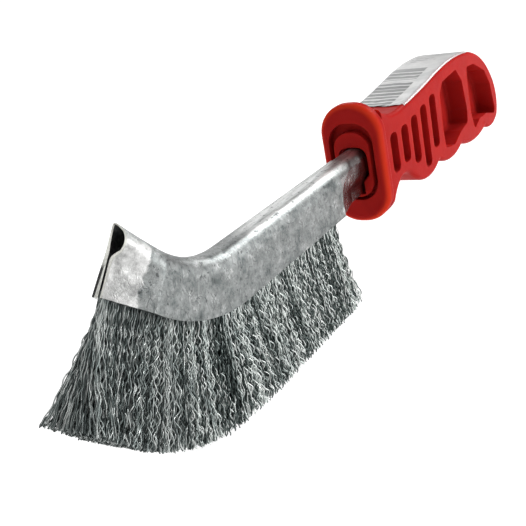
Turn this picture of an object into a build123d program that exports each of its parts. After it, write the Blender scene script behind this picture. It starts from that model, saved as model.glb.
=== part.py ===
from build123d import *
from math import cos, radians, sin
import os

# A hand wire brush: a bent steel holder full of crimped wire, in a moulded plastic handle.
#
# Frame: +X runs from the nose to the handle, +Z is up, and the wires point down to z = 0.
# Stations along the brush are measured from the guard's front face, and heights from the
# holder's mouth, where the wires come out.

# ---- driving dimensions, mm ------------------------------------------------------------
GUARD_X = 9.05  # guard front face, so that the whole brush is centred on x = 0
TRIM = 25.1  # free length of the wires, so the tips of the straight run stand on z = 0

SHEET = 1.0  # holder sheet thickness
HOLDER_H = 13.0  # holder height, mouth to crest
HOLDER_W = 4.4  # holder half width
CREST_R = 3.2  # bend radius of the folded back
STRAIGHT = 68.6  # guard face to the start of the bend
BEND_R = 48.5  # bend radius at the mouth
BEND = 40.7  # bend angle, degrees
NOSE = 10.6  # straight nose past the bend
NOSE_FLAT = 9.6  # length of the nose over which the legs are squeezed shut

SHOULDER = -17.5  # where the holder starts to close behind the wires
TANG_START = -8.0  # where it has closed down to the tang
TANG_SLIM = 14.0  # station inside the handle where the tang reaches its slim section
TANG_END = 46.0  # far end of the tang

WIRE_BACK = -20.8  # last wires at the mouth
WIRE_FLARE = 2.6  # how far those wires lean back at the tips
WIRE_ROOT = 3.2  # half thickness of the wire pack in the mouth
WIRE_TIP = 6.0  # half thickness of the wire pack at the tips
WIRE_TOP = 11.4  # top of the folded wires inside the holder
CORE_R = 1.2  # core wire radius
CORE_H = 9.3  # core wire height above the mouth

GRIP_W = 8.4  # handle half width
GRIP_EDGE = 1.3  # edge radius of the handle
NOTCH_R = 1.6  # rounding between two finger bulges
GUARD_W = 9.3  # guard half width
GUARD_TOP = 25.6
GUARD_BOTTOM = -8.7
GUARD_MID = (GUARD_TOP + GUARD_BOTTOM) / 2
GUARD_R = 8.6  # corner radius of the guard
GUARD_T = 4.6  # guard thickness
NECK_END = 9.0  # the neck keeps inside the guard's rounded outline up to this station
RIM_R = 2.0  # rounding of the guard's rim
RING_DEPTH = 2.6  # depth of the ring groove in the guard's face
RING_W, RING_H, RING_MID, RING_R = 6.7, 22.4, 9.3, 5.8  # outer side of the ring groove
BOSS_W, BOSS_H, BOSS_MID, BOSS_R = 5.3, 18.6, 8.4, 4.7  # boss inside the ring groove
SOCKET_GAP = 0.12  # clearance of the tang in its socket
SOCKET_LEAD, SOCKET_LEAD_DEPTH = 0.6, 1.6  # wider lead-in of that socket

SLOT_W = 5.2
SLOT_DEPTH = 4.4
SLOTS = [(10.6, 2.8, 14.4), (18.8, 3.2, 14.3), (26.6, 0.4, 14.9), (34.5, -3.4, 15.9), (42.6, 0.2, 17.0)]
SLOT_R = 1.9
POCKET_DEPTH = 6.4
POCKET_R = 1.6
FLOOR_R = 1.0  # rounding between the floor and the walls of a slot or pocket

LABEL_T = 0.16
LABEL_W = 7.5  # label half width
LABEL_SPAN = (0.14, 0.625)  # where it starts and ends along the back line


# ---- planes ----------------------------------------------------------------------------
def side_plane(y=0.0):
    """Drawing plane seen from the -Y side: x is the station, y the height."""
    return Plane(origin=(GUARD_X, y, TRIM), x_dir=(1, 0, 0), z_dir=(0, -1, 0))


def cross_plane(station):
    """Plane across the straight brush: x is +Y, y the height."""
    return Plane(origin=(GUARD_X + station, 0, TRIM), x_dir=(0, 1, 0), z_dir=(1, 0, 0))


def nose_plane(run):
    """Plane across the bent-up nose, run mm past the end of the bend."""
    turn = radians(BEND)
    x = -STRAIGHT - BEND_R * sin(turn) - run * cos(turn)
    z = BEND_R * (1 - cos(turn)) + run * sin(turn)
    return Plane(origin=(GUARD_X + x, 0, TRIM + z), x_dir=(0, 1, 0), z_dir=(cos(turn), 0, -sin(turn)))


BEND_AXIS = Axis((GUARD_X - STRAIGHT, 0, TRIM + BEND_R), (0, 1, 0))


# ---- holder ----------------------------------------------------------------------------
# One side of a section across the holder: foot height, half width at the foot, height of the
# waist, half width, low and high end of the tube part, half width of the flat crest, height.
FULL = (0.0, HOLDER_W - 0.05, 4.0, HOLDER_W, 6.0, HOLDER_H - CREST_R, HOLDER_W - CREST_R, HOLDER_H)
TANG = (0.4, 1.9, 3.4, 3.8, 5.4, HOLDER_H - 3.0, 0.8, HOLDER_H)
SLIM = (2.8, 1.7, 4.6, 2.7, 6.4, HOLDER_H - 2.2, 0.5, HOLDER_H)
NOSE_NEAR = (0.0, 0.1, 7.2, 2.9, 9.4, 11.2, 0.4, 13.8)
NOSE_FAR = (0.0, 2.4, 4.0, 2.35, 6.0, 12.6, 0.7, 13.8)


def section(plane, near, far, grow=0.0, below=0.0):
    """Closed outline across the holder, grown outwards by grow and carried on below the mouth."""
    foot_n, mouth_n, waist_n, wide_n, low_n, high_n, flat_n, top_n = near
    foot_f, mouth_f, waist_f, wide_f, low_f, high_f, flat_f, top_f = far
    near_foot = (-mouth_n - grow, foot_n - grow - below)
    near_side = (-wide_n - grow, high_n)
    near_crest = (-flat_n, top_n + grow)
    far_crest = (flat_f, top_f + grow)
    far_side = (wide_f + grow, high_f)
    far_foot = (mouth_f + grow, foot_f - grow - below)
    with BuildSketch(plane) as outline:
        with BuildLine():
            Polyline(near_foot, (-mouth_n - grow, waist_n), (-wide_n - grow, low_n), near_side)
            Bezier(near_side, (near_side[0], near_crest[1]), near_crest)
            Line(near_crest, far_crest)
            Bezier(far_crest, (far_side[0], far_crest[1]), far_side)
            Polyline(far_side, (wide_f + grow, low_f), (mouth_f + grow, waist_f), far_foot)
            Line(far_foot, near_foot)
        make_face()
    return outline.sketch


def inside(side):
    """The same side of a section, one sheet thickness further in."""
    foot, mouth, waist, wide, low, high, flat, top = side
    return (foot, mouth - SHEET, waist, wide - SHEET, low, high, flat - 0.2, top - SHEET)


def holder_solid(shrink=lambda side: side, below=0.0):
    """The holder along its whole run, as a closed solid over its sections."""
    full, tang, slim = shrink(FULL), shrink(TANG), shrink(SLIM)
    nose_near, nose_far = shrink(NOSE_NEAR), shrink(NOSE_FAR)
    nose_start = nose_plane(NOSE - NOSE_FLAT)
    with BuildPart() as run:
        extrude(section(cross_plane(TANG_SLIM), slim, slim, below=below), amount=TANG_END - TANG_SLIM)
        loft([section(cross_plane(TANG_SLIM), slim, slim, below=below),
              section(cross_plane(0), tang, tang, below=below)], ruled=True)
        extrude(section(cross_plane(TANG_START), tang, tang, below=below), amount=-TANG_START)
        loft([section(cross_plane(TANG_START), tang, tang, below=below),
              section(cross_plane(SHOULDER), full, full, below=below)], ruled=True)
        extrude(section(cross_plane(-STRAIGHT), full, full, below=below), amount=STRAIGHT + SHOULDER)
        revolve(section(cross_plane(-STRAIGHT), full, full, below=below), axis=BEND_AXIS,
                revolution_arc=BEND)
        extrude(section(nose_plane(0), full, full, below=below), amount=-(NOSE - NOSE_FLAT))
        loft([section(nose_start, full, full, below=below),
              section(nose_plane(NOSE), nose_near, nose_far, below=below)], ruled=True)
    return run.part


def holder_part():
    """The folded sheet: the closed holder less the space inside, open along the mouth."""
    closed = holder_solid()
    space = holder_solid(inside, below=3.0)
    with BuildPart() as holder:
        add(closed)
        add(space, mode=Mode.SUBTRACT)
    return holder.part


# ---- wires -----------------------------------------------------------------------------
def core_part():
    """The wire that the folded bristles hang on, along the whole fill."""
    with BuildPart() as core:
        with BuildSketch(cross_plane(-STRAIGHT)) as round_wire:
            with Locations((0, CORE_H)):
                Circle(CORE_R)
        extrude(round_wire.sketch, amount=STRAIGHT + WIRE_BACK - 1)
        revolve(round_wire.sketch, axis=BEND_AXIS, revolution_arc=BEND)
        with BuildSketch(nose_plane(0)) as nose_wire:
            with Locations((0, CORE_H)):
                Circle(CORE_R)
        extrude(nose_wire.sketch, amount=-(NOSE - NOSE_FLAT))
    return core.part


def fold_profile(plane):
    """The wires where they are folded inside the holder."""
    slope = 1.8
    with BuildSketch(plane) as outline:
        with BuildLine():
            Polyline((-WIRE_ROOT, 0), (-WIRE_ROOT, WIRE_TOP - slope), (slope - WIRE_ROOT, WIRE_TOP),
                     (WIRE_ROOT - slope, WIRE_TOP), (WIRE_ROOT, WIRE_TOP - slope), (WIRE_ROOT, 0),
                     close=True)
        make_face()
    return outline.sketch


def fan_profile(plane):
    """The free wires, spreading from the mouth to the tips."""
    with BuildSketch(plane) as outline:
        with BuildLine():
            Polyline((-WIRE_ROOT, 0), (WIRE_ROOT, 0), (WIRE_TIP, -TRIM), (-WIRE_TIP, -TRIM), close=True)
        make_face()
    return outline.sketch


def back_fan(height, half, back):
    """Level cut through the straight run of free wires, its rear end leaning back."""
    front = GUARD_X - STRAIGHT
    with BuildSketch(Plane.XY.offset(height)) as cut:
        with Locations(((front + GUARD_X + back) / 2, 0)):
            Rectangle(GUARD_X + back - front, 2 * half)
    return cut.sketch


def wire_part():
    """The whole crimped wire fill as one closed block."""
    core = core_part()
    with BuildPart() as fill:
        loft([back_fan(TRIM, WIRE_ROOT, WIRE_BACK), back_fan(0, WIRE_TIP, WIRE_BACK + WIRE_FLARE)],
             ruled=True)
        revolve(fan_profile(cross_plane(-STRAIGHT)), axis=BEND_AXIS, revolution_arc=BEND)
        extrude(fan_profile(nose_plane(0)), amount=-NOSE)
        extrude(fold_profile(cross_plane(-STRAIGHT)), amount=STRAIGHT + WIRE_BACK)
        revolve(fold_profile(cross_plane(-STRAIGHT)), axis=BEND_AXIS, revolution_arc=BEND)
        extrude(fold_profile(nose_plane(0)), amount=-(NOSE - NOSE_FLAT))
        add(core, mode=Mode.SUBTRACT)
    return fill.part


# ---- handle ----------------------------------------------------------------------------
BACK = [(4.4, 22.8), (9.0, 20.2), (14.5, 19.4), (22.0, 19.6), (41.0, 21.4), (54.0, 22.9), (66.0, 23.3),
        (77.0, 22.5), (86.0, 20.4), (94.5, 16.4), (101.0, 10.8), (105.4, 4.2), (106.5, -2.0),
        (104.6, -7.0)]
PALM_GROOVE = [(4.4, -7.6), (7.2, -4.0), (10.6, -1.2), (15.0, 0.3), (20.0, -1.0), (25.0, -4.4),
               (31.0, -6.5), (37.5, -6.6), (43.8, -4.4)]
FINGERS = [((43.8, -4.4), (55.0, -7.5), (65.3, -5.7)), ((65.3, -5.7), (78.5, -8.5), (91.0, -7.0)),
           ((91.0, -7.0), (98.5, -9.0), (104.6, -7.0))]
MIDDLE_POCKET = [(49.4, 15.4), (53.0, 18.4), (66.0, 19.2), (70.8, 14.4), (73.2, 3.6), (72.2, -0.4),
                 (65.6, -1.4), (58.0, -3.8), (50.0, -2.6), (49.0, 5.6)]
REAR_POCKET = [(76.6, 17.6), (84.0, 16.9), (94.6, 12.2), (99.4, 6.4), (102.4, -3.4), (101.6, -5.4),
               (93.0, -2.9), (85.0, -2.7), (79.0, -4.9), (76.6, 1.6), (75.8, 10.2)]


def back_line():
    """The line of the handle's back under the label."""
    with BuildLine(side_plane()) as back:
        Spline(*BACK)
    return back.line.edges()[0]


def neck_corners():
    """What lies outside the guard's outline beside and below the neck."""
    around = 8.0
    with BuildPart() as corners:
        with BuildSketch(cross_plane(0)):
            with Locations((0, GUARD_BOTTOM)):
                Rectangle(2 * (GUARD_W + around), 2 * around)
            with Locations((0, GUARD_MID)):
                RectangleRounded(2 * GUARD_W, GUARD_TOP - GUARD_BOTTOM, GUARD_R, mode=Mode.SUBTRACT)
        extrude(amount=NECK_END)
    return corners.part


def grip_part():
    """The grip: flat sides, a humped back, finger grooves below and rounded edges."""
    corners = neck_corners()
    with BuildPart() as grip:
        with BuildSketch(side_plane()) as silhouette:
            with BuildLine():
                Spline(*BACK)
                for start, middle, end in FINGERS:
                    ThreePointArc(start, middle, end)
                Spline(*PALM_GROOVE)
                Line(PALM_GROOVE[0], BACK[0])
            make_face()
            notches = [vertex for vertex in silhouette.vertices() if vertex.Y < 0 and 40 < vertex.X < 103]
            fillet(notches, radius=NOTCH_R)
        extrude(amount=GRIP_W, both=True)
        sides = grip.faces().filter_by(Axis.Y)
        outline = sides.edges().filter_by(lambda edge: edge.center().X > GUARD_X + BACK[0][0] + 0.1)
        fillet(outline, radius=GRIP_EDGE)
        add(corners, mode=Mode.SUBTRACT)
    return grip.part


def guard_part():
    """The guard: a rounded plate with a ring groove round the boss where the holder enters."""
    with BuildPart() as guard:
        with BuildSketch(cross_plane(0)):
            with Locations((0, GUARD_MID)):
                RectangleRounded(2 * GUARD_W, GUARD_TOP - GUARD_BOTTOM, GUARD_R)
        extrude(amount=GUARD_T)
        fillet(guard.faces().sort_by(Axis.X)[0].edges(), radius=RIM_R)
        fillet(guard.faces().sort_by(Axis.X)[-1].edges(), radius=GRIP_EDGE)
        with BuildSketch(cross_plane(0)):
            with Locations((0, RING_MID)):
                RectangleRounded(2 * RING_W, RING_H, RING_R)
            with Locations((0, BOSS_MID)):
                RectangleRounded(2 * BOSS_W, BOSS_H, BOSS_R, mode=Mode.SUBTRACT)
        extrude(amount=RING_DEPTH, mode=Mode.SUBTRACT)
    return guard.part


def socket_part():
    """The space for the tang, a little wider where it enters the boss."""
    with BuildPart() as socket:
        extrude(section(cross_plane(0), TANG, TANG, grow=SOCKET_LEAD), amount=SOCKET_LEAD_DEPTH)
        loft([section(cross_plane(0), TANG, TANG, grow=SOCKET_GAP),
              section(cross_plane(TANG_SLIM), SLIM, SLIM, grow=SOCKET_GAP)], ruled=True)
        extrude(section(cross_plane(TANG_SLIM), SLIM, SLIM, grow=SOCKET_GAP),
                amount=TANG_END + SOCKET_GAP - TANG_SLIM)
    return socket.part


def hollow_side(y):
    """The slots and the two pockets cut into the side of the grip at y = +-GRIP_W."""
    inward = 1 if y > 0 else -1
    with BuildPart() as hollows:
        with BuildSketch(side_plane(y)):
            for station, low, high in SLOTS:
                with Locations((station, (low + high) / 2)):
                    RectangleRounded(SLOT_W, high - low, SLOT_R)
        extrude(amount=inward * SLOT_DEPTH)
        with BuildSketch(side_plane(y)) as pockets:
            for corners in (MIDDLE_POCKET, REAR_POCKET):
                with BuildLine():
                    Polyline(*corners, close=True)
                make_face()
            fillet(pockets.vertices(), radius=POCKET_R)
        extrude(amount=inward * POCKET_DEPTH)
        floors = hollows.faces().filter_by(Axis.Y).filter_by(lambda face: abs(face.center().Y) < GRIP_W - 1)
        fillet(floors.edges(), radius=FLOOR_R)
    return hollows.part


def handle_part():
    """Grip and guard as one moulding, with its hollows and the socket for the tang."""
    grip, guard, socket = grip_part(), guard_part(), socket_part()
    near_hollows, far_hollows = hollow_side(-GRIP_W), hollow_side(GRIP_W)
    with BuildPart() as handle:
        add(grip)
        add(guard)
        add(near_hollows, mode=Mode.SUBTRACT)
        add(far_hollows, mode=Mode.SUBTRACT)
        add(socket, mode=Mode.SUBTRACT)
    return handle.part


def label_part():
    """The adhesive label that follows the handle's back."""
    back = back_line()
    stuck = back.trim(*LABEL_SPAN)
    with BuildPart() as label:
        with BuildSketch(Plane(origin=stuck @ 0, x_dir=(0, 1, 0), z_dir=stuck % 0)):
            with Locations((0, LABEL_T / 2)):
                Rectangle(2 * LABEL_W, LABEL_T)
        sweep(path=stuck)
    return label.part


# ---- the pieces ------------------------------------------------------------------------
os.makedirs("parts", exist_ok=True)

holder_body = holder_part()
with BuildPart() as holder_channel:
    add(holder_body)
holder_channel.part.label = "holder_channel"
export_step(holder_channel.part, "parts/holder_channel.step")

core_body = core_part()
with BuildPart() as core_wire:
    add(core_body)
core_wire.part.label = "core_wire"
export_step(core_wire.part, "parts/core_wire.step")

wire_body = wire_part()
with BuildPart() as wire_fill:
    add(wire_body)
wire_fill.part.label = "wire_fill"
export_step(wire_fill.part, "parts/wire_fill.step")

handle_body = handle_part()
with BuildPart() as handle:
    add(handle_body)
handle.part.label = "handle"
export_step(handle.part, "parts/handle.step")

label_body = label_part()
with BuildPart() as label:
    add(label_body)
label.part.label = "label"
export_step(label.part, "parts/label.step")
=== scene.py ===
import math

import bpy
import numpy as np
from mathutils import Matrix, Vector


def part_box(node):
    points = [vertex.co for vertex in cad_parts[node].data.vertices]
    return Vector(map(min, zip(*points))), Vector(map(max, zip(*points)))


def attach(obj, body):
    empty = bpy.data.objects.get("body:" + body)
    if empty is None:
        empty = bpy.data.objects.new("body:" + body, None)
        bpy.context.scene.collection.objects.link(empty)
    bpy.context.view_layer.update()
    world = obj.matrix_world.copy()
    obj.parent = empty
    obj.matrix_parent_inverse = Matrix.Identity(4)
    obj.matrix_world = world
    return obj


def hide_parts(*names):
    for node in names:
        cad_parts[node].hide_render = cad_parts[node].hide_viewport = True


# The looks of a hand wire brush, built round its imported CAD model.
#
# Lengths are in metres, in the CAD model's frame: +X runs from the nose to the handle, +Z is up and
# the wires point down to z = 0. Heights of the holder are measured from its mouth, where the wires
# come out, and runs go along the mouth, from the guard's front face to the nose.

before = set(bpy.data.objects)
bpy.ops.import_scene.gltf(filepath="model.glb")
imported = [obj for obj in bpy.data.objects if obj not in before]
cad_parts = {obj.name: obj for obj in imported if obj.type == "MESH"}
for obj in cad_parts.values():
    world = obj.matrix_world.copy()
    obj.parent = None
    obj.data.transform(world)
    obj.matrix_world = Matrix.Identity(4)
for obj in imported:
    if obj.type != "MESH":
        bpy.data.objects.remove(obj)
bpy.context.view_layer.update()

MM = 0.001
ROOT = "root"

# ---- sizes, as in the CAD model --------------------------------------------------------
GUARD_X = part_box("handle")[0].x  # front face of the guard
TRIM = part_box("holder_channel")[0].z  # height of the mouth, which is the free length of the wires
LABEL_FROM, LABEL_TO = (corner.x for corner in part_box("label"))
STRAIGHT = 68.6 * MM  # guard face to the start of the bend
BEND_R = 48.5 * MM  # bend radius at the mouth
BEND = math.radians(40.7)
NOSE = 10.6 * MM  # straight nose past the bend
RUN = STRAIGHT + BEND_R * BEND + NOSE
GUARD_W, GUARD_HALF, GUARD_MID = 9.3 * MM, 17.15 * MM, 8.45 * MM  # half width, half height, middle
TANG_END = 46.0 * MM  # length of the tang inside the handle
TANG_SLIM = 14.0 * MM  # where it reaches its slim section
WIRE_BACK = 20.8 * MM  # run of the last wires
PRESSED_AT = GUARD_X - 17.75 * MM  # where the pressed sides start, towards the tang


def run_point(s):
    """Mouth centre, the way up and the way on towards the nose, s metres along the mouth."""
    s = np.asarray(s, float)
    turn = np.clip((s - STRAIGHT) / BEND_R, 0, BEND)
    past = np.clip(s - STRAIGHT - BEND_R * BEND, 0, None)
    flat = np.minimum(s, STRAIGHT)
    x = GUARD_X - flat - BEND_R * np.sin(turn) - past * np.cos(turn)
    z = TRIM + BEND_R * (1 - np.cos(turn)) + past * np.sin(turn)
    up = np.stack([np.sin(turn), np.zeros_like(turn), np.cos(turn)], -1)
    on = np.stack([-np.cos(turn), np.zeros_like(turn), np.sin(turn)], -1)
    return np.stack([x, np.zeros_like(x), z], -1), up, on


def wander(rng, places, size, waves=7):
    """A smooth random number about as large as 1 at each place, alike for places closer than size."""
    total = 0
    for _ in range(waves):
        heading = rng.normal(0, 1, places.shape[1])
        total = total + np.sin(places @ heading / size + rng.uniform(0, 2 * np.pi))
    return total / math.sqrt(waves / 2)


# ---- painting --------------------------------------------------------------------------
def ramp(nodes, stops):
    node = nodes.new("ShaderNodeValToRGB")
    elements = node.color_ramp.elements
    while len(elements) < len(stops):
        elements.new(0.5)
    for element, (at, colour) in zip(elements, stops):
        element.position = at
        element.color = (*colour, 1)
    return node


class Paint:
    """A material's node graph, with a short call for each kind of node used here."""

    def __init__(self, name):
        self.material = bpy.data.materials.new(name)
        self.material.use_nodes = True
        self.nodes = self.material.node_tree.nodes
        self.links = self.material.node_tree.links
        self.shader = self.nodes["Principled BSDF"]

    def put(self, socket, value):
        """Link another node's output to a socket, or set the socket to a number or a colour."""
        if isinstance(value, bpy.types.NodeSocket):
            self.links.new(value, socket)
        elif socket.type == "RGBA":
            socket.default_value = (*value, 1)
        else:
            socket.default_value = value

    def set(self, name, value):
        self.put(self.shader.inputs[name], value)

    def place(self, stretch=(1, 1, 1)):
        where = self.nodes.new("ShaderNodeTexCoord")
        scale = self.nodes.new("ShaderNodeMapping")
        scale.inputs["Scale"].default_value = stretch
        self.put(scale.inputs["Vector"], where.outputs["Object"])
        return scale.outputs["Vector"]

    def axis(self, name):
        parts = self.nodes.new("ShaderNodeSeparateXYZ")
        self.put(parts.inputs[0], self.place())
        return parts.outputs[name]

    def reach(self, direction):
        """Distance of a place along a direction."""
        dot = self.nodes.new("ShaderNodeVectorMath")
        dot.operation = "DOT_PRODUCT"
        dot.inputs[1].default_value = tuple(float(part) for part in direction)
        self.put(dot.inputs[0], self.place())
        return dot.outputs["Value"]

    def noise(self, scale, stretch=(1, 1, 1), detail=4.0, rough=0.6):
        node = self.nodes.new("ShaderNodeTexNoise")
        node.inputs["Scale"].default_value = scale
        node.inputs["Detail"].default_value = detail
        node.inputs["Roughness"].default_value = rough
        self.put(node.inputs["Vector"], self.place(stretch))
        return node.outputs["Fac"]

    def maths(self, operation, *values):
        node = self.nodes.new("ShaderNodeMath")
        node.operation = operation
        for socket, value in zip(node.inputs, values):
            self.put(socket, value)
        return node.outputs["Value"]

    def times(self, first, *others):
        for other in others:
            first = self.maths("MULTIPLY", first, other)
        return first

    def plus(self, first, second):
        return self.maths("ADD", first, second)

    def minus(self, first, second):
        return self.maths("SUBTRACT", first, second)

    def span(self, value, low, high, to_low, to_high):
        """to_low below low, to_high above high, and a smooth step between."""
        node = self.nodes.new("ShaderNodeMapRange")
        node.interpolation_type = "SMOOTHSTEP"
        limits = {"From Min": low, "From Max": high, "To Min": to_low, "To Max": to_high}
        for name, number in limits.items():
            node.inputs[name].default_value = number
        self.put(node.inputs["Value"], value)
        return node.outputs["Result"]

    def between(self, value, low, high, edge):
        """1 between low and high, 0 outside, with soft edges."""
        return self.times(self.span(value, low - edge, low + edge, 0.0, 1.0),
                          self.span(value, high - edge, high + edge, 1.0, 0.0))

    def mix(self, factor, first, second, how="MIX"):
        node = self.nodes.new("ShaderNodeMix")
        node.data_type = "RGBA"
        node.blend_type = how
        for index, value in ((0, factor), (6, first), (7, second)):  # its sockets for colours
            self.put(node.inputs[index], value)
        return node.outputs[2]

    def multiply(self, first, second):
        return self.mix(1.0, first, second, "MULTIPLY")

    def colours(self, value, stops):
        node = ramp(self.nodes, stops)
        self.put(node.inputs["Fac"], value)
        return node.outputs["Color"]

    def bump(self, height, distance, strength=1.0):
        node = self.nodes.new("ShaderNodeBump")
        node.inputs["Distance"].default_value = distance
        node.inputs["Strength"].default_value = strength
        self.put(node.inputs["Height"], height)
        self.set("Normal", node.outputs["Normal"])

    def scratches(self, scale, stretch, width):
        """Thin broken lines, 1 on a line."""
        wobble = self.nodes.new("ShaderNodeTexNoise")
        wobble.inputs["Scale"].default_value = 260
        self.put(wobble.inputs["Vector"], self.place())
        bent = self.nodes.new("ShaderNodeVectorMath")
        bent.operation = "MULTIPLY_ADD"
        bent.inputs[1].default_value = (2 * MM, 2 * MM, 2 * MM)
        self.put(bent.inputs[0], wobble.outputs["Color"])
        self.put(bent.inputs[2], self.place(stretch))
        cells = self.nodes.new("ShaderNodeTexVoronoi")
        cells.feature = "DISTANCE_TO_EDGE"
        cells.inputs["Scale"].default_value = scale
        self.put(cells.inputs["Vector"], bent.outputs["Vector"])
        line = self.span(cells.outputs["Distance"], width / 2, width, 1.0, 0.0)
        return self.times(line, self.span(self.noise(420, detail=2), 0.5, 0.56, 0.0, 1.0))


# ---- red plastic -----------------------------------------------------------------------
def painted_rim_glow(paint):
    """1 on the guard's rounded rim, which is painted brighter as a glow of light, 0 elsewhere: the guard's
    outline is a slot with round ends.
    """
    height = paint.minus(paint.axis("Z"), TRIM + GUARD_MID)
    past = paint.minus(paint.maths("ABSOLUTE", height), GUARD_HALF - GUARD_W)
    past = paint.maths("MAXIMUM", past, 0.0)
    across = paint.axis("Y")
    off_middle = paint.maths("SQRT", paint.plus(paint.times(past, past), paint.times(across, across)))
    out = paint.span(off_middle, GUARD_W - 1.5 * MM, GUARD_W - 0.3 * MM, 0.0, 1.0)
    front = paint.span(paint.axis("X"), GUARD_X + 0.8 * MM, GUARD_X + 3 * MM, 1.0, 0.0)
    return paint.times(out, front)


def red_plastic():
    paint = Paint("red_plastic")
    paint.set("IOR", 1.06)
    paint.set("Subsurface Weight", 0.3)
    paint.set("Subsurface Radius", (1.0, 0.2, 0.08))
    paint.set("Subsurface Scale", 4 * MM)
    red = paint.colours(paint.noise(90), [(0.3, (0.3, 0.011, 0.0105)), (0.7, (0.355, 0.0135, 0.0115))])
    # painted glow: the guard's rim is painted a brighter orange, standing in for light shining through it
    paint.set("Base Color", paint.mix(painted_rim_glow(paint), red, (0.5, 0.03, 0.012)))
    paint.set("Roughness", paint.span(paint.noise(260), 0.3, 0.7, 0.32, 0.4))
    paint.bump(paint.noise(420, detail=2), 0.06 * MM)
    return paint.material


# ---- galvanised steel ------------------------------------------------------------------
def zinc(paint, patches, lines):
    """Cloudy zinc with faint streaks, a dark grain and thin dark scratches."""
    cloudy = paint.colours(patches, [(0.36, (0.125, 0.14, 0.14)), (0.46, (0.235, 0.248, 0.245)),
                                     (0.56, (0.29, 0.3, 0.297)), (0.7, (0.6, 0.61, 0.6))])
    streaks = paint.span(paint.noise(800, (1, 1, 0.25), detail=3), 0.35, 0.6, 0.0, 1.0)
    body = paint.multiply(cloudy, paint.mix(streaks, (0.93, 0.94, 0.94), (1, 1, 1)))
    grain = paint.span(paint.noise(560, detail=6, rough=0.8), 0.38, 0.6, 0.0, 1.0)
    body = paint.mix(grain, paint.multiply(body, (0.62, 0.63, 0.63)), body)
    return paint.mix(paint.times(lines, 0.55), body, (0.09, 0.1, 0.1))


def painted_crest_highlight(paint, body):
    """The straight crest, painted brighter between its streaks as a highlight."""
    top = paint.span(paint.axis("Z"), TRIM + 11.6 * MM, TRIM + 12.9 * MM, 0.0, 1.0)
    straight = paint.span(paint.axis("X"), GUARD_X - STRAIGHT, GUARD_X - 0.8 * STRAIGHT, 0.0, 1.0)
    highlight_streaks = paint.span(paint.noise(800, (0.12, 1, 1), detail=4), 0.4, 0.6, 0.25, 0.6)
    # painted highlight along the top of the straight crest
    return paint.mix(paint.times(top, straight, highlight_streaks), body, (0.85, 0.86, 0.85))


def nose_bare_and_highlights(paint, body, patches):
    """Bare bright metal at the pinched nose, its brightest patches painted highlights, and the cut end of
    the sheet.
    """
    end, up, on = run_point(RUN)
    along = paint.reach(on)
    tip = float(end @ on)
    height = paint.minus(paint.reach(up), float(end @ up))
    ragged = paint.plus(along, paint.times(patches, 3 * MM))
    nose = paint.times(paint.span(ragged, tip - 5.5 * MM, tip - 4.7 * MM, 0.0, 0.9),
                       paint.span(height, 11.0 * MM, 13.0 * MM, 1.0, 0.15))
    scrapes = paint.times(paint.scratches(520, (1, 1, 0.15), 0.06), 0.4)
    # bare metal colour at the nose, its brightest patches painted highlights of the creased nose
    bare_and_highlights = paint.colours(patches, [(0.38, (0.34, 0.34, 0.335)), (0.62, (0.85, 0.85, 0.84))])
    body = paint.mix(nose, body, paint.mix(scrapes, bare_and_highlights, (0.16, 0.16, 0.16)))
    return nose_cut(paint, body, paint.span(along, tip - 0.2 * MM, tip - 0.05 * MM, 0.0, 1.0), height)


def nose_cut(paint, body, cut, height):
    """The cut end of the sheet: matt, with a painted shadow in the gap where the far wall is folded
    double.
    """
    body = paint.mix(paint.times(cut, 0.9), body, (0.4, 0.4, 0.37))
    slant = paint.plus(paint.axis("Y"), paint.times(height, 0.12))
    # painted shadow in the gap of the folded far wall
    fold_gap_shadow = paint.span(slant, 2.42 * MM, 2.5 * MM, 0.0, 1.0)
    low = paint.span(height, 5.5 * MM, 7.0 * MM, 1.0, 0.0)
    return paint.mix(paint.times(cut, fold_gap_shadow, low), body, (0.03, 0.03, 0.03))


def tang_reflection_and_highlights(paint, body, pressed):
    """The pressed sides near the guard: a painted dark red reflection of the guard, with painted bright
    broken highlights where they are creased.
    """
    # painted reflection of the red guard and painted shade on the pressed sides
    body = paint.mix(paint.times(pressed, 0.6), body, (0.3, 0.26, 0.26))
    crease = paint.between(paint.axis("X"), GUARD_X - 14.5 * MM, GUARD_X - 9.5 * MM, 0.5 * MM)
    # painted highlights along the crease
    crease_highlights = paint.times(paint.scratches(520, (1, 1, 0.25), 0.05), pressed, crease, 0.8)
    return paint.mix(crease_highlights, body, (0.9, 0.86, 0.84))


def galvanised():
    paint = Paint("galvanised_steel")
    patches = paint.noise(210, detail=8, rough=0.75)
    lines = paint.scratches(420, (1, 1, 0.5), 0.06)
    near_guard = paint.span(paint.axis("X"), PRESSED_AT, PRESSED_AT + 1.2 * MM, 0.0, 1.0)
    below_crest = paint.span(paint.axis("Z"), TRIM + 9.5 * MM, TRIM + 11.8 * MM, 1.0, 0.0)
    pressed = paint.times(near_guard, below_crest)
    body = painted_crest_highlight(paint, zinc(paint, patches, lines))
    specks = paint.span(paint.noise(900, detail=2), 0.62, 0.68, 0.0, 0.8)
    body = paint.mix(specks, body, (0.07, 0.075, 0.075))
    body = nose_bare_and_highlights(paint, body, patches)
    paint.set("Base Color", tang_reflection_and_highlights(paint, body, pressed))
    paint.set("Metallic", 1.0)
    paint.set("Roughness", paint.times(paint.span(patches, 0.34, 0.7, 0.34, 0.5),
                                       paint.span(pressed, 0.0, 1.0, 1.0, 0.5)))
    paint.bump(paint.minus(patches, paint.times(lines, 0.1)), 0.2 * MM, 0.8)
    return paint.material


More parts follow.
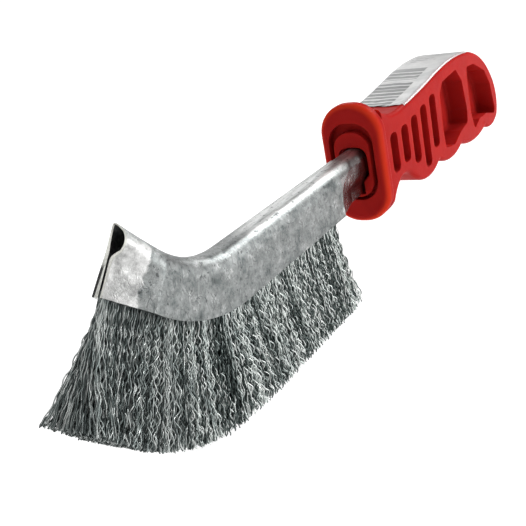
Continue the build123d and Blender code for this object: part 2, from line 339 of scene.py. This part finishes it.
# ---- wire and label --------------------------------------------------------------------
def crimped_wire():
    """Wires from dark to bright, darker and rougher in uneven locks at the front, and with painted shade
    towards the nose.
    """
    paint = Paint("crimped_wire")
    wire = paint.nodes.new("ShaderNodeNewGeometry").outputs["Random Per Island"]
    bright = paint.colours(wire, [(0.0, (0.026, 0.04, 0.038)), (0.42, (0.145, 0.178, 0.17)),
                                  (0.55, (0.89, 0.95, 0.92)), (1.0, (0.98, 1.0, 0.98))])
    locks = paint.noise(420, (1, 1, 0.15), detail=2)
    front = paint.span(paint.axis("X"), -62 * MM, -45 * MM, 1.0, 0.25)
    darker_locks = paint.times(paint.span(locks, 0.35, 0.6, 1.0, 0.0), front)
    toned = paint.multiply(bright, paint.mix(darker_locks, (1, 1, 1), (0.42, 0.46, 0.46)))
    # painted shade on the wires towards the nose
    shade = paint.span(paint.axis("X"), -98 * MM, -76 * MM, 0.4, 0.0)
    paint.set("Base Color", paint.mix(shade, toned, (0.12, 0.135, 0.135)))
    paint.set("Metallic", 0.7)
    paint.set("Roughness", paint.span(locks, 0.3, 0.7, 0.42, 0.3))
    return paint.material


def core_steel():
    paint = Paint("core_steel")
    cloud = paint.noise(300)
    paint.set("Base Color", paint.colours(cloud, [(0.3, (0.12, 0.13, 0.13)), (0.7, (0.3, 0.31, 0.3))]))
    paint.set("Metallic", 1.0)
    paint.set("Roughness", paint.span(cloud, 0.3, 0.7, 0.3, 0.5))
    return paint.material


BAR_PITCH = 2.9 * MM
# Each block of bars: where it starts and ends past the label's front, its soft edge and darkness.
BAR_BLOCKS = ((0.5 * MM, 22.5 * MM, 0.2 * MM, 1.0), (24 * MM, 34.5 * MM, 0.3 * MM, 0.85))
PRINT_FROM, PRINT_TO = 70.5 * MM, 76.5 * MM  # the small print past the bars


def label_bars(paint, x, y):
    """Uneven wavy bars across the label, in two blocks."""
    wavy = paint.plus(x, paint.times(paint.noise(150, detail=2), 1.8 * MM))
    wave = paint.maths("SINE", paint.times(wavy, 2 * math.pi / BAR_PITCH))
    uneven = paint.times(paint.noise(300, (1, 0, 0), detail=1), 2.4)
    stripe = paint.span(paint.plus(wave, uneven), 0.3, 0.65, 0.0, 1.0)
    first, second = (paint.times(paint.between(wavy, LABEL_FROM + low, LABEL_FROM + high, edge), dark)
                     for low, high, edge, dark in BAR_BLOCKS)
    return paint.times(stripe, paint.plus(first, second), paint.between(y, -3.8 * MM, 9.5 * MM, 0.2 * MM))


def small_print(paint, x, y):
    """A patch of lines too fine to read."""
    lines = paint.span(paint.noise(1000, (1, 0.3, 1), detail=1), 0.5, 0.6, 0.0, 0.5)
    return paint.times(lines, paint.between(x, PRINT_FROM, PRINT_TO, 0.4 * MM),
                       paint.between(y, -3 * MM, 6 * MM, 0.4 * MM))


def label_film():
    paint = Paint("label_film")
    x, y = paint.axis("X"), paint.axis("Y")
    paper = paint.colours(paint.noise(150), [(0.35, (0.4, 0.405, 0.405)), (0.65, (0.58, 0.575, 0.57))])
    wrapped = paint.span(paint.maths("ABSOLUTE", y), 7.2 * MM, 7.8 * MM, 0.0, 0.8)
    sheet = paint.mix(wrapped, paper, (0.4, 0.3, 0.3))
    ink = paint.plus(label_bars(paint, x, y), small_print(paint, x, y))
    paint.set("Base Color", paint.mix(paint.times(ink, 0.95), sheet, (0.05, 0.055, 0.055)))
    paint.set("Roughness", 0.32)
    paint.bump(paint.noise(160, detail=3), 0.3 * MM, 0.6)
    return paint.material


# ---- pieces ----------------------------------------------------------------------------
def add_piece(name, mesh, mat):
    obj = bpy.data.objects.new(name, mesh)
    bpy.context.scene.collection.objects.link(obj)
    mesh.materials.append(mat)
    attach(obj, ROOT)
    return obj


def sheet_faces(rows, columns):
    """Faces of a sheet made of two layers of rows by columns points, closed along its rim."""
    layer = rows * columns
    faces = []
    for row in range(rows - 1):
        for a in range(row * columns, row * columns + columns - 1):
            outer = (a, a + columns, a + columns + 1, a + 1)
            faces.append(outer)
            faces.append(tuple(layer + corner for corner in reversed(outer)))
    first_row = list(range(columns))
    far_side = [row * columns + columns - 1 for row in range(1, rows)]
    last_row = [(rows - 1) * columns + column for column in range(columns - 2, -1, -1)]
    near_side = [row * columns for row in range(rows - 2, 0, -1)]
    rim = first_row + far_side + last_row + near_side
    for a, b in zip(rim, rim[1:] + rim[:1]):
        faces.append((a, b, layer + b, layer + a))
    return faces


def sheet_piece(name, points, rows, columns, mat):
    mesh = bpy.data.meshes.new(name)
    mesh.from_pydata(points, [], sheet_faces(rows, columns))
    mesh.polygons.foreach_set("use_smooth", [True] * len(mesh.polygons))
    mesh.update()
    mesh.set_sharp_from_angle(angle=math.radians(50))
    return add_piece(name, mesh, mat)


# ---- wires -----------------------------------------------------------------------------
WIRE_PIECES, WIRES_EACH = 10, 600
WIRE_R = 0.165 * MM
STEPS, SIDES = 52, 3  # rings of a wire, and corners of a ring
CRIMP = 3.5 * MM  # length of one wave
CRIMP_DEPTH = 0.5 * MM
CRIMP_GROWS = 7 * MM  # below the mouth the crimp grows over about this length
DRIFT_SHORT, DRIFT_LONG = 6 * MM, 14 * MM  # lengths of the slow waves under the crimp
DRIFT, DRIFT_Y = 0.55 * MM, 0.3 * MM  # their depth along the brush and across it
FOLDED = 1.5 * MM  # how far up in the holder a wire starts
UNEVEN = 0.5 * MM  # how much the free lengths vary
BEND_LONGER, STRAIGHT_SHORTER = 0.9 * MM, 0.4 * MM
ROOT_HALF, TIP_HALF = 2.9 * MM, 6.0 * MM  # half thickness of the fill in the mouth and at the tips
TIP_SPREAD, TIP_LOOSE = 6.3 * MM, 0.35 * MM  # where the tips would stand without that limit
LOCK, SWAY = 1.1 * MM, 3.5 * MM  # width of the small and the large locks the wires lean in
LOCK_HALF = 4 * MM  # half thickness of the fill where the locks are told apart
LOCK_LEAN, SWAY_LEAN, LOOSE_LEAN = 0.45 * MM, 0.5 * MM, 0.8 * MM  # lean of a lock, and of single wires
NOSE_LEAN = 1.7 * MM  # mean lean of the first wires towards the nose
BACK_LEAN, BACK_RUN = 3.2 * MM, 6 * MM  # how far the last wires lean back, and over which run
PAST_NOSE = 1.15 * MM  # mean reach of the tips past the nose
BUNDLE_SEED, LOCK_SEED = 11, 7


def wire_lengths(rng, at):
    """Free lengths: uneven, a little shorter on the straight and longer in the bend."""
    bend = np.clip((at - STRAIGHT) / (RUN - STRAIGHT), 0, 1)
    length = TRIM - rng.uniform(0, UNEVEN, at.shape)
    return length + BEND_LONGER * np.sin(np.pi * bend ** 1.5) - STRAIGHT_SHORTER * (bend < 0.25)


def tip_lean(rng, at, side, nose):
    """How far each tip leans towards the nose: in locks, forwards at the nose, back at the last wires."""
    places = np.hstack([at, side * LOCK_HALF])
    field = np.random.default_rng(LOCK_SEED)
    locks = wander(field, places, LOCK)[:, None]
    sway = wander(field, places, SWAY)[:, None]
    last = np.clip(1 - (at - WIRE_BACK) / BACK_RUN, 0, 1)
    lean = LOCK_LEAN * locks + SWAY_LEAN * sway + rng.normal(0, LOOSE_LEAN, at.shape)
    return lean + NOSE_LEAN * (1 + side) * nose ** 2 - BACK_LEAN * last ** 2


def crimps(rng, run, fan, nose):
    """Waves of each wire along the brush and across it: a slow drift and the regular crimp."""
    each = (len(run), 1)
    slow = rng.uniform(DRIFT_SHORT, DRIFT_LONG, each)
    drift_turn, drift_y_turn, crimp_turn, plane = rng.uniform(0, 2 * np.pi, (4, *each))
    wave = CRIMP * rng.uniform(0.86, 1.18, each)
    depth = CRIMP_DEPTH * rng.uniform(0.65, 1.2, each)
    drift = DRIFT * np.sin(2 * np.pi * run / slow + drift_turn) * fan
    drift_y = DRIFT_Y * np.sin(2 * np.pi * run / slow + drift_y_turn) * fan
    crimp = depth * np.sin(2 * np.pi * run / wave + crimp_turn)
    crimp = crimp * np.clip(0.3 + run / CRIMP_GROWS, 0.3, 1) * (1 - 0.55 * nose)
    return drift + crimp * np.cos(plane / 2), drift_y + crimp * np.sin(plane / 2)


def keep_inside(across, spread, nose):
    """Hold the wires between the holder's legs in the mouth and inside the fill's sides below it."""
    near_root = -ROOT_HALF + 3.7 * MM * nose
    far_root = ROOT_HALF - 1.3 * MM * nose
    near = near_root * (1 - spread) - (TIP_HALF + 0.15 * MM) * spread - 0.25 * MM
    far = far_root * (1 - spread) + (TIP_HALF + 0.15 * MM) * spread + 0.1 * MM
    return np.clip(across, near, far)


def bundle(rng, count, first, last):
    """Centre lines of count crimped wires that leave the mouth between two places along it."""
    at = rng.uniform(first, last, (count, 1))
    side = rng.uniform(-1, 1, (count, 1))
    nose = np.clip((at - (RUN - NOSE)) / NOSE, 0, 1)
    length = wire_lengths(rng, at)
    run = -FOLDED + np.linspace(0, 1, STEPS) * (length + FOLDED)
    fan = np.clip(run / TRIM, 0, 1)
    spread = np.clip((fan - 0.12) / 0.88, 0, 1) ** 1.2
    root = side * (ROOT_HALF - 2.5 * MM * nose) + 1.2 * MM * nose  # pinched towards the far wall
    tip = np.clip(side * TIP_SPREAD + rng.normal(0, TIP_LOOSE, at.shape), -TIP_HALF, TIP_HALF)
    lean = tip_lean(rng, at, side, nose)
    wave, wave_y = crimps(rng, run, fan, nose)
    along = np.minimum(lean * spread + wave, RUN - at + PAST_NOSE * (1 + side) * spread)
    across = keep_inside(root * (1 - spread) + tip * spread + wave_y, spread, nose)
    mouth, up, on = run_point(at)
    centre = mouth - up * run[..., None] + on * along[..., None]
    centre[..., 1] += across
    centre[..., 2] = np.maximum(centre[..., 2], WIRE_R)
    return centre


def tubes(centre):
    """Vertices, quads and an unrolled map of thin round wires along the given centre lines."""
    count, steps, _ = centre.shape
    along = np.gradient(centre, axis=1)
    along /= np.linalg.norm(along, axis=-1, keepdims=True)
    first = np.cross(along, [0.2, 1, 0])
    first /= np.linalg.norm(first, axis=-1, keepdims=True)
    second = np.cross(along, first)
    turn = np.arange(SIDES) * 2 * np.pi / SIDES
    ring = first[:, :, None, :] * np.cos(turn)[:, None] + second[:, :, None, :] * np.sin(turn)[:, None]
    verts = (centre[:, :, None, :] + WIRE_R * ring).reshape(-1, 3)
    wire = np.arange(count)[:, None, None]
    step = np.arange(steps - 1)[None, :, None]
    corner = np.arange(SIDES)[None, None, :]
    base = wire * steps * SIDES + step * SIDES
    after = (corner + 1) % SIDES
    quads = np.stack([base + corner, base + after, base + SIDES + after, base + SIDES + corner], -1)
    u0 = (wire + 0.1 + 0.8 * corner / SIDES) / count + 0 * step
    u1 = (wire + 0.1 + 0.8 * (corner + 1) / SIDES) / count + 0 * step
    v0 = step / (steps - 1) + 0 * u0
    v1 = (step + 1) / (steps - 1) + 0 * u0
    unrolled = np.stack([u0, v0, u1, v0, u1, v1, u0, v1], -1)
    return verts, quads.reshape(-1, 4), unrolled.reshape(-1, 2)


def wire_piece(name, rng, first, last, mat):
    verts, quads, unrolled = tubes(bundle(rng, WIRES_EACH, first, last))
    mesh = bpy.data.meshes.new(name)
    mesh.vertices.add(len(verts))
    mesh.vertices.foreach_set("co", verts.astype(np.float32).ravel())
    mesh.loops.add(quads.size)
    mesh.loops.foreach_set("vertex_index", quads.astype(np.int32).ravel())
    mesh.polygons.add(len(quads))
    mesh.polygons.foreach_set("loop_start", np.arange(0, quads.size, 4, dtype=np.int32))
    mesh.polygons.foreach_set("use_smooth", np.ones(len(quads), bool))
    mesh.update(calc_edges=True)
    mesh.uv_layers.new(name="OFBake").uv.foreach_set("vector", unrolled.astype(np.float32).ravel())
    return add_piece(name, mesh, mat)


def make_wires():
    rng = np.random.default_rng(BUNDLE_SEED)
    mat = crimped_wire()
    cuts = np.linspace(WIRE_BACK, RUN - 0.3 * MM, WIRE_PIECES + 1)
    pieces = [wire_piece(f"wires_{n + 1}", rng, cuts[n], cuts[n + 1], mat) for n in range(WIRE_PIECES)]
    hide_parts("wire_fill")


# ---- holder ----------------------------------------------------------------------------
# Sections of the folded sheet as (y, height) in millimetres, from the near mouth edge over the crest
# to the far mouth edge: the outside and the inside of the sheet.
FULL = ([(-4.35, 0), (-4.4, 2.2), (-4.4, 4.2), (-4.4, 6.2), (-4.4, 8), (-4.35, 9.4), (-4.05, 10.7),
         (-3.3, 11.9), (-2.2, 12.7), (-1, 13), (0, 13), (1, 13), (2.6, 12.55), (3.7, 11.6), (4.3, 10),
         (4.4, 7.5), (4.4, 5), (4.4, 2.5), (4.35, 0)],
        [(-3.35, 0), (-3.4, 2.2), (-3.4, 4.2), (-3.4, 6.2), (-3.4, 8), (-3.35, 9.3), (-3.1, 10.3),
         (-2.5, 11.2), (-1.7, 11.8), (-0.8, 12), (0, 12), (0.8, 12), (2, 11.65), (2.9, 10.9), (3.3, 9.6),
         (3.4, 7.5), (3.4, 5), (3.4, 2.5), (3.35, 0)])
PINCHED = ([(0.73, 0), (0.55, 2.5), (0.35, 5), (0.15, 7.3), (-0.8, 8.35), (-1.7, 9.1), (-2.2, 10.5),
            (-2.1, 11.9), (-1.3, 13.2), (0.3, 14.3), (1.5, 14.75), (1.95, 14.5), (2.05, 13), (2.1, 11),
            (2.15, 9), (2.35, 7.2), (2.6, 5), (2.85, 2.5), (3.05, 0)],
           [(1.04, 0), (0.95, 2.5), (0.85, 5), (0.7, 7.7), (-0.35, 8.8), (-1.25, 9.35), (-1.75, 10.4),
            (-1.7, 11.7), (-1, 13), (0.35, 14), (1.45, 14.5), (1.55, 14.3), (1.55, 13), (1.5, 11),
            (1.3, 9), (1.35, 7.2), (1.4, 5), (1.5, 2.5), (1.56, 0)])
TANG = ([(-1.9, 0.4), (-1.9, 1.6), (-1.95, 2.8), (-2.3, 4), (-3, 5.2), (-3.6, 6.5), (-3.75, 8.2),
         (-3.65, 10.2), (-2.9, 11.8), (-1.5, 12.85), (0, 13), (1.5, 12.85), (2.7, 12), (3.5, 10.7),
         (3.75, 8.7), (3.6, 6.5), (2.6, 4.5), (1.95, 2.6), (1.9, 0.4)],
        [(-0.9, 0.4), (-0.9, 1.6), (-0.95, 2.9), (-1.3, 4.2), (-2, 5.4), (-2.6, 6.7), (-2.75, 8.2),
         (-2.65, 9.8), (-2.1, 11), (-1.1, 11.85), (0, 12), (1.1, 11.85), (2, 11.1), (2.6, 10),
         (2.75, 8.5), (2.6, 6.7), (1.6, 4.7), (0.95, 2.7), (0.9, 0.4)])
SLIM = ([(-1.5, 2.8), (-1.6, 3.8), (-1.7, 4.8), (-2, 5.8), (-2.4, 6.8), (-2.65, 8), (-2.65, 9.3),
         (-2.5, 10.7), (-1.9, 12), (-1, 12.8), (0, 13), (1, 12.8), (1.8, 12.1), (2.4, 11), (2.65, 9.3),
         (2.5, 7), (2, 5.8), (1.65, 4.3), (1.5, 2.8)],
        [(-0.6, 2.8), (-0.7, 3.9), (-0.8, 5), (-1, 6), (-1.4, 7), (-1.65, 8.1), (-1.65, 9.2),
         (-1.6, 10.3), (-1.2, 11.2), (-0.6, 11.8), (0, 12), (0.6, 11.8), (1.1, 11.3), (1.5, 10.5),
         (1.65, 9.2), (1.5, 7.2), (1, 6), (0.7, 4.5), (0.6, 2.8)])
PER_SPAN = 4  # points drawn for each stretch between two given ones

# Where the holder starts to close down to the tang depends on the height: heights and runs, mm.
SHOULDER = ([0, 1.4, 3.8, 6.7, 9.1, 11.8, 13], [17.4, 17.6, 17.9, 17.1, 14.8, 9.6, 8.6])
SHOULDER_END, SHOULDER_RINGS = 18.6 * MM, 156  # closely spaced sections up to this run
TANG_FLAT = 8.0 * MM  # run at which it has closed
FIRST_STEP = 0.22  # share of the closing that comes as a sharp step at the shoulder


def smooth_line(points):
    """Catmull-Rom points through the given ones, PER_SPAN for each stretch."""
    p = np.array(points, float)
    p = np.vstack([2 * p[0] - p[1], p, 2 * p[-1] - p[-2]])
    t = (np.arange(PER_SPAN) / PER_SPAN)[None, :, None]
    a, b, c, d = (p[i:len(p) - 3 + i][:, None] for i in range(4))
    line = 0.5 * (2 * b + (c - a) * t + (2 * a - 5 * b + 4 * c - d) * t ** 2
                  + (3 * b - a - 3 * c + d) * t ** 3)
    return np.vstack([line.reshape(-1, 2), p[-2]])


def holder_section(s, layer):
    """The outside (layer 0) or the inside (layer 1) of the sheet at each run s."""
    full, pinched, tang, slim = (smooth_line(section[layer]) * MM
                                 for section in (FULL, PINCHED, TANG, SLIM))
    pinch = np.clip((s - (RUN - NOSE)) / NOSE, 0, 1)[:, None, None]
    shoulder = np.interp(full[:, 1] / MM, *SHOULDER) * MM
    closing = (shoulder[None, :] - s[:, None]) / (shoulder - TANG_FLAT)[None, :]
    step = np.clip(closing * 12, 0, 1) * FIRST_STEP
    closed = np.clip(step + closing * (1 - FIRST_STEP), 0, 1)[..., None]
    thin = np.clip(-s / TANG_SLIM, 0, 1)[:, None, None]
    return full + (pinched - full) * pinch + (tang - full) * closed + (slim - tang) * thin


def holder_piece(mat):
    s = np.concatenate([np.linspace(-TANG_END, 0, 24)[:-1],
                        np.linspace(0, SHOULDER_END, SHOULDER_RINGS),
                        np.linspace(SHOULDER_END + 0.1 * MM, STRAIGHT, 50),
                        np.linspace(STRAIGHT, RUN - NOSE, 50)[1:],
                        np.linspace(RUN - NOSE, RUN, 36)[1:]])
    mouth, up, _ = run_point(s)
    layers = []
    for layer in (0, 1):
        section = holder_section(s, layer)
        place = mouth[:, None, :] + up[:, None, :] * section[..., 1:]
        place[..., 1] += section[..., 0]
        layers.append(place)
    rows, columns = layers[0].shape[:2]
    points = np.vstack([layer.reshape(-1, 3) for layer in layers]).tolist()
    holder = sheet_piece("holder", points, rows, columns, mat)
    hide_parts("holder_channel")


# ---- label -----------------------------------------------------------------------------
LABEL_HALF = 8.0 * MM
LABEL_T = 0.16 * MM
LABEL_RUN = 58 * MM  # its length in X, near enough for the ripples
LABEL_ROWS, LABEL_COLUMNS = 110, 41
LABEL_SEED = 5


def label_piece(mat):
    """A film over the handle's back and its rounded edges, a little wrinkled at the front."""
    rng = np.random.default_rng(LABEL_SEED)
    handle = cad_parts["handle"]
    to_handle = handle.matrix_world.inverted()
    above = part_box("handle")[1].z + 0.03
    bend = np.sin(np.linspace(-1, 1, LABEL_COLUMNS) * math.pi / 2)
    places = np.array([(u, LABEL_HALF * v) for u in np.linspace(0, 1, LABEL_ROWS) for v in bend])
    flat = places * (LABEL_RUN, 1)
    ripple, fold = wander(rng, flat, 1.6 * MM), wander(rng, flat, 0.7 * MM)
    top = []
    for (u, y), wave, crease in zip(places, ripple, fold):
        start = LABEL_FROM + 0.35 * MM * math.sin(900 * y + 1) + (1.2 * MM if y < -7 * MM else 0)
        x = start + (LABEL_TO - start) * u
        _, at, normal, _ = handle.ray_cast(to_handle @ Vector((x, y, above)), Vector((0, 0, -1)))
        lift = LABEL_T + 0.035 * MM * (1 + wave / 2) + 0.1 * MM * max(crease, 0) * max(0, 1 - u * 6)
        top.append(handle.matrix_world @ (at + normal * lift))
    under = [point - Vector((0, 0, 0.8 * LABEL_T)) for point in top]
    label = sheet_piece("label_sheet", top + under, LABEL_ROWS, LABEL_COLUMNS, mat)
    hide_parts("label")


# ---- making ----------------------------------------------------------------------------
def dress(node, mat):
    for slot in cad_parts[node].material_slots:
        slot.link = "OBJECT"
        slot.material = mat


dress("handle", red_plastic())
dress("core_wire", core_steel())
label_piece(label_film())
holder_piece(galvanised())
make_wires()


# ---- floor, light and camera -----------------------------------------------------------
FLOOR_HALF = 8.0
# name, place, aim, side of the square lamp, watts
LAMPS = [("key", (0.35, -0.75, 0.55), (0, 0, 0.03), 0.35, 2.4),
         ("low", (0.3, -0.6, 0.1), (0.04, 0, 0.03), 0.3, 2.2),
         ("back", (0.85, -0.3, 0.58), (0, 0, 0.03), 0.36, 7),
         ("beyond", (0.93, 0.62, 0.43), (0, 0, 0.03), 0.5, 1.5),
         ("left", (-0.47, 0.52, 0.75), (0, 0, 0.03), 0.35, 2)]
CAMERA_AT = Vector((GUARD_X - 223.57 * MM, -113.83 * MM, TRIM + 79.68 * MM))
HEADING = math.radians(33.92)  # from +X towards +Y
PITCH = math.radians(-20.79)
ROLL = math.radians(-11.38)
SENSOR, LENS = 36, 63.07  # mm


def make_floor():
    corners = [(-FLOOR_HALF, -FLOOR_HALF, 0), (FLOOR_HALF, -FLOOR_HALF, 0),
               (FLOOR_HALF, FLOOR_HALF, 0), (-FLOOR_HALF, FLOOR_HALF, 0)]
    mesh = bpy.data.meshes.new("floor")
    mesh.from_pydata(corners, [], [(0, 1, 2, 3)])
    floor = bpy.data.objects.new("floor", mesh)
    bpy.context.scene.collection.objects.link(floor)
    paint = Paint("floor_white")
    paint.set("Base Color", (0.35, 0.35, 0.35))
    paint.set("Roughness", 1.0)
    paint.set("Specular IOR Level", 0.0)
    paint.set("Emission Color", (1, 1, 1))
    paint.set("Emission Strength", 0.93)
    mesh.materials.append(paint.material)


def make_world():
    """Soft grey surroundings, lighter towards the top."""
    world = bpy.data.worlds.new("studio")
    world.use_nodes = True
    nodes, links = world.node_tree.nodes, world.node_tree.links
    where = nodes.new("ShaderNodeTexCoord")
    parts = nodes.new("ShaderNodeSeparateXYZ")
    greys = ramp(nodes, [(at, (grey, grey, grey)) for at, grey in ((0.0, 0.12), (0.3, 0.25), (1.0, 0.85))])
    links.new(where.outputs["Generated"], parts.inputs[0])
    links.new(parts.outputs["Z"], greys.inputs["Fac"])
    links.new(greys.outputs["Color"], nodes["Background"].inputs["Color"])
    nodes["Background"].inputs["Strength"].default_value = 0.8
    bpy.context.scene.world = world


def make_lamp(name, at, aim, size, watts):
    lamp = bpy.data.lights.new(name, "AREA")
    lamp.size = size
    lamp.energy = watts
    obj = bpy.data.objects.new(name, lamp)
    obj.location = at
    obj.rotation_euler = (Vector(aim) - Vector(at)).to_track_quat("-Z", "Y").to_euler()
    bpy.context.scene.collection.objects.link(obj)


def make_camera():
    camera = bpy.data.cameras.new("camera")
    camera.sensor_width = SENSOR
    camera.lens = LENS
    camera.clip_start = 10 * MM
    obj = bpy.data.objects.new("camera", camera)
    look = Matrix.Rotation(HEADING - math.pi / 2, 4, "Z") @ Matrix.Rotation(math.pi / 2 + PITCH, 4, "X")
    obj.matrix_world = Matrix.Translation(CAMERA_AT) @ look @ Matrix.Rotation(ROLL, 4, "Z")
    bpy.context.scene.collection.objects.link(obj)
    bpy.context.scene.camera = obj


make_floor()
make_world()
for lamp in LAMPS:
    make_lamp(*lamp)
make_camera()
bpy.context.scene.view_settings.view_transform = "Standard"
